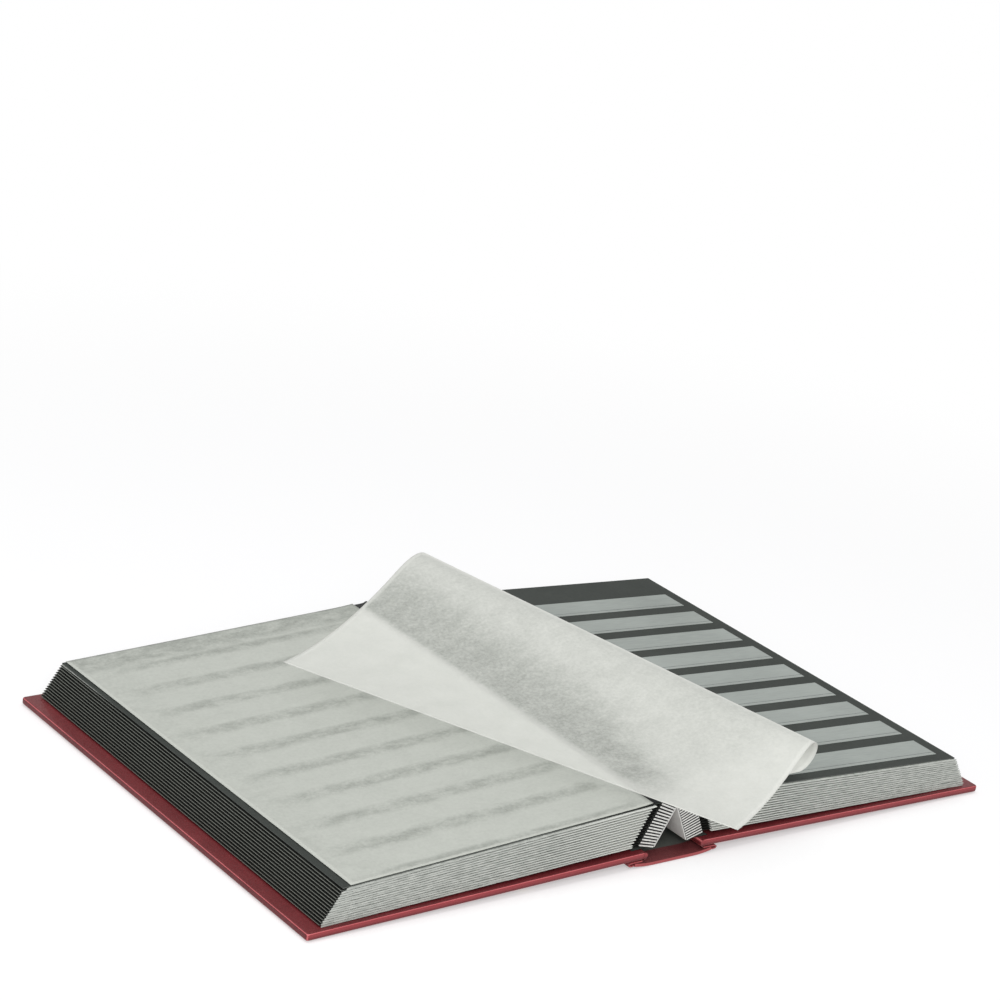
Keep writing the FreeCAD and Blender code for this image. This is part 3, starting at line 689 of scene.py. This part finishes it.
# %% Sheet helpers
def thin_sheet(name, grid, thickness, material, **shades):
    """A closed sheet on a grid of points, rows by columns, with a number for each point in every shade."""
    rows, columns = grid.shape[:2]
    normal = np.cross(np.gradient(grid, axis=0), np.gradient(grid, axis=1))
    normal /= np.linalg.norm(normal, axis=2, keepdims=True)
    points = np.concatenate([(grid + normal * thickness / 2).reshape(-1, 3),
                             (grid - normal * thickness / 2).reshape(-1, 3)])
    below = rows * columns
    number = np.arange(below).reshape(rows, columns)
    faces = [(number[i, j], number[i + 1, j], number[i + 1, j + 1], number[i, j + 1])
             for i in range(rows - 1) for j in range(columns - 1)]
    faces += [tuple(v + below for v in face[::-1]) for face in faces]
    rim = [*number[:, 0], *number[-1, 1:], *number[-2::-1, -1], *number[0, -2:0:-1]]
    faces += [(rim[k - 1], rim[k - 1] + below, rim[k] + below, rim[k]) for k in range(len(rim))]
    mesh = bpy.data.meshes.new(name)
    mesh.from_pydata(points.tolist(), [], [tuple(int(v) for v in face) for face in faces])
    mesh.polygons.foreach_set("use_smooth", [True] * len(mesh.polygons))
    mesh.materials.append(material)
    for title, shade in shades.items():
        values = mesh.attributes.new(title, "FLOAT", "POINT")
        values.data.foreach_set("value", np.tile(shade.ravel(), 2).astype(np.float32))
    return new_object(name, mesh)


def waves(across, along, seed, coarse):
    """Gentle waves of paper of about -1 to 1, the same every time."""
    chance = np.random.default_rng(seed)
    height = np.zeros(np.broadcast(across, along).shape)
    for _ in range(9):
        turn_x, turn_y, start = chance.uniform(-1, 1), chance.uniform(-1, 1), chance.uniform(0, 6.3)
        height += np.sin((across * turn_x + along * turn_y) * coarse + start)
    return height / 5.0


print("sheet helpers ready")

# %% [markdown]
# ## The glassine on the left page
# It lies on the page, a little askew, and hides the pocket strips, which show through as soft stripes:
# lighter where a strip of film lies below it, darker over the bare card between two strips.

# %% Lay the left glassine
LEFT_FROM, LEFT_TO, LEFT_HALF = 0.0076, 0.2135, 0.1479
hinge, lean, side = leaf_place(LEFT_TOP)
out = np.linspace(LEFT_FROM, LEFT_TO, 70)[:, None]
along = np.linspace(-LEFT_HALF, LEFT_HALF, 120)[None, :]
ripple = np.clip(waves(out, along, 4, 38.0), -1, 1)
lifted = 0.00066 + 0.00016 * ripple + 0.0006 * np.exp((LEFT_FROM - out) / 0.006)
askew = out + 0.00085 + 0.0091 * along
turned = Matrix.Rotation(lean, 3, "Y")
local_x, local_z = np.array(turned @ Vector((1, 0, 0))), np.array(turned @ Vector((0, 0, 1)))
left_grid = (np.array(hinge) + (side * askew)[..., None] * local_x + lifted[..., None] * local_z
             + along[..., None] * np.array((0, 1, 0)))
print("left glassine grid:", left_grid.shape)

# %% Shade the left glassine
GLASSINE_THICK = 0.00012


def smooth_step(value, low, high):
    """0 at low, 1 at high and a smooth step between them."""
    share = np.clip((value - low) / (high - low), 0, 1)
    return share * share * (3 - 2 * share)


step = np.mod(along + 0.1405, STRIP_PITCH) / STRIP_PITCH
stripe = (1 - smooth_step(np.abs(step - 0.835), 0.06, 0.26)) * (along < 0.128)
strip_end = np.clip((out - 0.016) / 0.010, 0, 1) * np.clip((0.207 - out) / 0.030, 0, 1)
head = 0.35 * np.clip((along - 0.125) / 0.008, 0, 1)
ground = np.maximum(0.34 * stripe * strip_end + 0.08 * (1 - strip_end), head)
# painted highlight on the sheet's outer edge and on its tail edge
ground[-1], ground[:, 0] = -0.5, -0.3
left_sheet = thin_sheet("left_glassine", left_grid[:, ::-1], GLASSINE_THICK, finishes["laid"],
                        ground=ground[:, ::-1])
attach(left_sheet, "leaf_15")
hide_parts("left_interleaf")
print("left glassine faces:", len(left_sheet.data.polygons))

# %% [markdown]
# ## The bent glassine
# The right page's sheet is bent back over the gutter, and its free edge hangs just over the left page. Paper
# bends but doesn't stretch, so a free-hand surface would look like rubber. All the bend lines of this sheet
# meet in one point, far outside it, which makes the bent sheet a cone: it turns over in one tight roll, and
# then a slight bend back levels its free edge out. Every flat point keeps its distance to the meeting point,
# and that is the whole rule.

# %% Bend the glassine
SHEET_WIDTH, SHEET_HEIGHT, APEX, REACH = 0.2255, 0.296, 0.719, 0.045
STEPS, ROLL_SHARE, ROLL_TURN, TURN_BACK = 240, 0.4, 200.4, -24.2
across, lengthwise, upright = Vector((1, 0, 0)), Vector((0, 1, 0)), Vector((0, 0, 1))
bound = Vector((0.0113, 0, 0.0381))
meeting = bound + across * SHEET_WIDTH - lengthwise * APEX
opening = math.atan2(SHEET_WIDTH - REACH, APEX)


def spread(total, count, lead):
    """A bend of total degrees in count steps, leading towards its start or its end."""
    share = [1 + lead * (2 * (k + 0.5) / count - 1) for k in range(count)]
    return [math.radians(total) * value / sum(share) for value in share]


def swing(first, second, angle):
    """Two directions at right angles, with the first turned towards the second by an angle."""
    return (first * math.cos(angle) + second * math.sin(angle),
            second * math.cos(angle) - first * math.sin(angle))


rolled = round(STEPS * ROLL_SHARE)
bends = spread(ROLL_TURN, rolled, -0.98) + spread(TURN_BACK, STEPS - rolled, 0.2)
ray = lengthwise * math.cos(opening) - across * math.sin(opening)
beside = across * math.cos(opening) + lengthwise * math.sin(opening)
stood = upright
rays = [tuple(ray)]
for bend in bends:
    beside, stood = swing(beside, stood, bend)
    ray, beside = swing(ray, beside, opening / STEPS)
    rays.append(tuple(ray))
rays = np.array(rays)
print("bent through", round(math.degrees(sum(bends)), 1), "degrees")

# %% Shape the bent glassine
BOUND_STRIP = 0.03  # the strip along the bound edge, where the points are wider apart
flat_out = np.concatenate([np.linspace(0, BOUND_STRIP, 8)[:-1],
                           np.linspace(BOUND_STRIP, SHEET_WIDTH, 130)])[:, None]
flat_along = np.linspace(-SHEET_HEIGHT / 2, SHEET_HEIGHT / 2, 90)[None, :]
angle = np.arctan2(SHEET_WIDTH - flat_out, flat_along + APEX)
distance = np.hypot(SHEET_WIDTH - flat_out, flat_along + APEX)
unrolled = (opening - angle) / opening * STEPS
direction = np.stack([np.interp(unrolled, np.arange(STEPS + 1), rays[:, k]) for k in range(3)], axis=2)
direction /= np.linalg.norm(direction, axis=2, keepdims=True)
lying = (np.array(bound) + flat_out[..., None] * np.array(across)
         + flat_along[..., None] * np.array(lengthwise))
bent_grid = np.where((unrolled <= 0)[..., None], lying,
                     np.array(meeting) + distance[..., None] * direction)
print("bent glassine:", rounded(bent_grid.min((0, 1))), rounded(bent_grid.max((0, 1))))

# %% [markdown]
# ## The ghost on the bent glassine
# The sheet's upper part is grey where the camera looks through it into the dark gutter, and bright where it
# looks through at the left page. A line of sight moves on by 1.83 times the height that it falls, so adding
# that to a point's place across gives the place below that is seen through it. Over the right page the grey
# is partly the ghost of the dark card and partly painted shade, where the roll is lit more, and there is
# none of it where the sheet hangs out beyond the tail. The fold gets a painted highlight, and so do the cut
# edges.

# %% Shade the bent glassine
PAGE_LEVEL, PAGE_END, SIGHT_RUN = 0.038, 0.0193, 1.83
EDGE_HIGHLIGHT = -0.4
y = bent_grid[..., 1]
upper = smooth_step(unrolled, STEPS * 0.195, STEPS * 0.23)
height_above = np.clip(bent_grid[..., 2] - PAGE_LEVEL, 0, 1)
past_page = bent_grid[..., 0] + PAGE_END + SIGHT_RUN * height_above
begins = smooth_step(past_page, 0.001, 0.010)
narrower = 0.45 + 0.55 * smooth_step(y, -0.150, -0.030)
fades = 1 - smooth_step(past_page / narrower, 0.036, 0.092)
above_table = smooth_step(y, -0.165, -0.120)
# ghost of the dark page below, with painted shade added over the right page, where the roll is lit more
bent_ground = (0.06 + (0.18 + 0.30 * fades) * above_table) * begins * upper
# painted highlight along the fold
bent_ground -= 0.36 * np.exp(-((unrolled / STEPS - 0.222) / 0.020) ** 2)
# painted highlight on the cut edges
bent_ground[-1], bent_ground[:, 0], bent_ground[:, -1] = EDGE_HIGHLIGHT, EDGE_HIGHLIGHT, EDGE_HIGHLIGHT
over_page = 1 - begins
clear = 0.03 + (0.28 + 0.17 * over_page) * np.exp(-height_above / (0.012 + 0.02 * over_page)) * upper
bent_sheet = thin_sheet("bent_glassine", bent_grid, GLASSINE_THICK, finishes["bent"],
                        ground=bent_ground, clear=clear)
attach(bent_sheet, "gutter")
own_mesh(bent_sheet)
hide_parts("curled_interleaf")
print("bent glassine faces:", len(bent_sheet.data.polygons))

# %% [markdown]
# ## Folded leatherette at the joints
# Between spine and cover the leatherette is loose, so that the cover can swing. With the album open it lies
# in a flat fold under the cover's inner edge. A profile is drawn once for the back cover, smoothed, and run
# from head to tail; the front one is its mirror image.

# %% Ribbons
MM = 0.001


def smooth_line(points, count):
    """A smooth line through the points, given in millimetres, as x and z in metres."""
    points = np.array(points, float) * MM
    ends = np.vstack([2 * points[0] - points[1], points, 2 * points[-1] - points[-2]])
    place = np.linspace(0, len(points) - 1, count)
    first = np.minimum(place.astype(int), len(points) - 2)
    t = (place - first)[:, None]
    a, b, c, d = (ends[first + k] for k in range(4))
    bow, twist = 2 * a - 5 * b + 4 * c - d, 3 * b - a - 3 * c + d
    return 0.5 * (2 * b + (c - a) * t + bow * t ** 2 + twist * t ** 3)


def ribbon(name, line, side, ends, thickness, material, wave=0.0, seed=1):
    """A strip with this profile, run along the album's height, for the right (1) or left (-1) side."""
    along = np.linspace(ends[0] * MM, ends[1] * MM, 60)
    grid = np.empty((len(line), len(along), 3))
    grid[..., 0] = side * line[:, :1]
    grid[..., 1] = along[None, :]
    grid[..., 2] = line[:, 1:] + wave * MM * waves(line[:, :1] * 0, along[None, :], seed, 60.0)
    strip = thin_sheet(name, grid if side > 0 else grid[:, ::-1], thickness * MM, material)
    return mark_faces(strip, ["tail"])


def cut_size(line, ends):
    """What a ribbon measures when it is laid flat: its profile's length and its height."""
    return float(np.linalg.norm(np.diff(line, axis=0), axis=1).sum()), (ends[1] - ends[0]) * MM


print("ribbon helpers ready")

# %% Joint folds
COVERS = (("back", 1), ("front", -1))
FOLD_ENDS, FOLD_THICK = (-152.2, 152.2), 0.85
fold_line = smooth_line([(23.0, 3.62), (27.0, 3.6), (30.5, 3.52), (32.3, 3.25), (33.0, 2.6), (32.4, 1.95),
                         (31.1, 1.68), (29.8, 1.75), (29.15, 2.05)], 40)
for end, side in COVERS:
    fold = ribbon(f"{end}_joint_fold", fold_line, side, FOLD_ENDS, FOLD_THICK, finishes["spine"])
    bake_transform(fold)
    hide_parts(f"{end}_joint")
    cut_size(fold_line, FOLD_ENDS)
    print(fold.name, rounded(cut_size(fold_line, FOLD_ENDS)))

# %% [markdown]
# ## Rounded inner edges of the covers
# At its inner edge a cover ends in a full round, because the leatherette is drawn over the padding there.
# The solid has small rounds, so a half-round bar is laid over its end: half an ellipse, run along the
# height.

# %% Inner edges
JOINT_EDGE, COVER_FALL, COVER_THICK, COVER_WIDTH = 0.0215, math.radians(1.1), 0.0044, 0.23
EDGE_LEVEL = COVER_WIDTH * math.sin(COVER_FALL)
ROUND_FROM, ROUND_DEEP, ROUND_PROUD = 0.0009, 0.0024, 0.00003
BAR_ENDS = (-0.1524, 0.1524)


def half_round(name, side):
    """A closed half-elliptic bar over a cover's inner edge, on the right (1) or left (-1) side."""
    turns = np.linspace(-math.pi / 2, math.pi / 2, 15)
    along_cover = ROUND_FROM - ROUND_DEEP * np.cos(turns)
    above = COVER_THICK / 2 + (COVER_THICK / 2 + ROUND_PROUD) * np.sin(turns)
    x = side * (JOINT_EDGE + along_cover * math.cos(COVER_FALL) + above * math.sin(COVER_FALL))
    z = EDGE_LEVEL - along_cover * math.sin(COVER_FALL) + above * math.cos(COVER_FALL)
    count = len(turns)
    points = [(x[k], end, z[k]) for end in BAR_ENDS for k in range(count)]
    faces = [(k, (k + 1) % count, (k + 1) % count + count, k + count) for k in range(count)]
    faces += [tuple(range(count))[::-1], tuple(range(count, 2 * count))]
    if side < 0:
        faces = [face[::-1] for face in faces]
    mesh = bpy.data.meshes.new(name)
    mesh.from_pydata(points, [], faces)
    mesh.materials.append(finishes["leather"])
    return mark_faces(new_object(name, mesh))


for end, side in COVERS:
    bar = half_round(f"{end}_inner_edge", side)
    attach(bar, f"{end}_cover")
    print(bar.name, len(bar.data.polygons), "faces")

# %% [markdown]
# ## Black linen over the gutter
# A strip of black linen covers the first guards on each side of the gutter and runs on to the top leaf, so
# the valley between the pages is black. It crosses the top leaf's hinge, so it bends between the two.

# %% Gutter linen
LINEN_ENDS, LINEN_THICK, LINEN_WAVE = (-147.4, 147.4), 0.2, 0.03
linen_line = smooth_line([(0.75, 33.25), (2.2, 33.8), (6.0, 35.55), (9.8, 37.38), (10.9, 37.84),
                          (11.9, 37.75), (12.8, 37.2), (14.4, 36.9), (17.5, 36.62), (20.8, 36.43)], 40)
for hand, side, leaf in (("right", 1, "leaf_16"), ("left", -1, "leaf_15")):
    strip = ribbon(f"{hand}_gutter_linen", linen_line, side, LINEN_ENDS, LINEN_THICK, finishes["linen"],
                   LINEN_WAVE, seed=3)
    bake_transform(strip)
    cut_size(linen_line, LINEN_ENDS)
    print(strip.name, rounded(cut_size(linen_line, LINEN_ENDS)))

# %% [markdown]
# ## Endpaper folds
# The endpaper runs on from the cover, over the joint and down to the foot of the block, where it is glued
# to the outermost guard. It hangs in a slack curve in the dark below the pages.

# %% Hang the endpaper folds
PAPER_ENDS, PAPER_THICK, PAPER_WAVE = (-147.8, 147.8), 0.28, 0.04
paper_line = smooth_line([(13.8, 8.48), (15.4, 8.88), (16.9, 9.26), (18.6, 9.28), (20.6, 9.06), (22.6, 8.96),
                          (25.6, 8.9), (28.5, 8.84)], 30)
for end, side in COVERS:
    fold = ribbon(f"{end}_endpaper_joint_fold", paper_line, side, PAPER_ENDS, PAPER_THICK, finishes["card"],
                  PAPER_WAVE, seed=8)
    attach(fold, f"{end}_cover")
    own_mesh(fold)
    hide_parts(f"{end}_endpaper_joint")
    cut_size(paper_line, PAPER_ENDS)
    print(fold.name, rounded(cut_size(paper_line, PAPER_ENDS)))
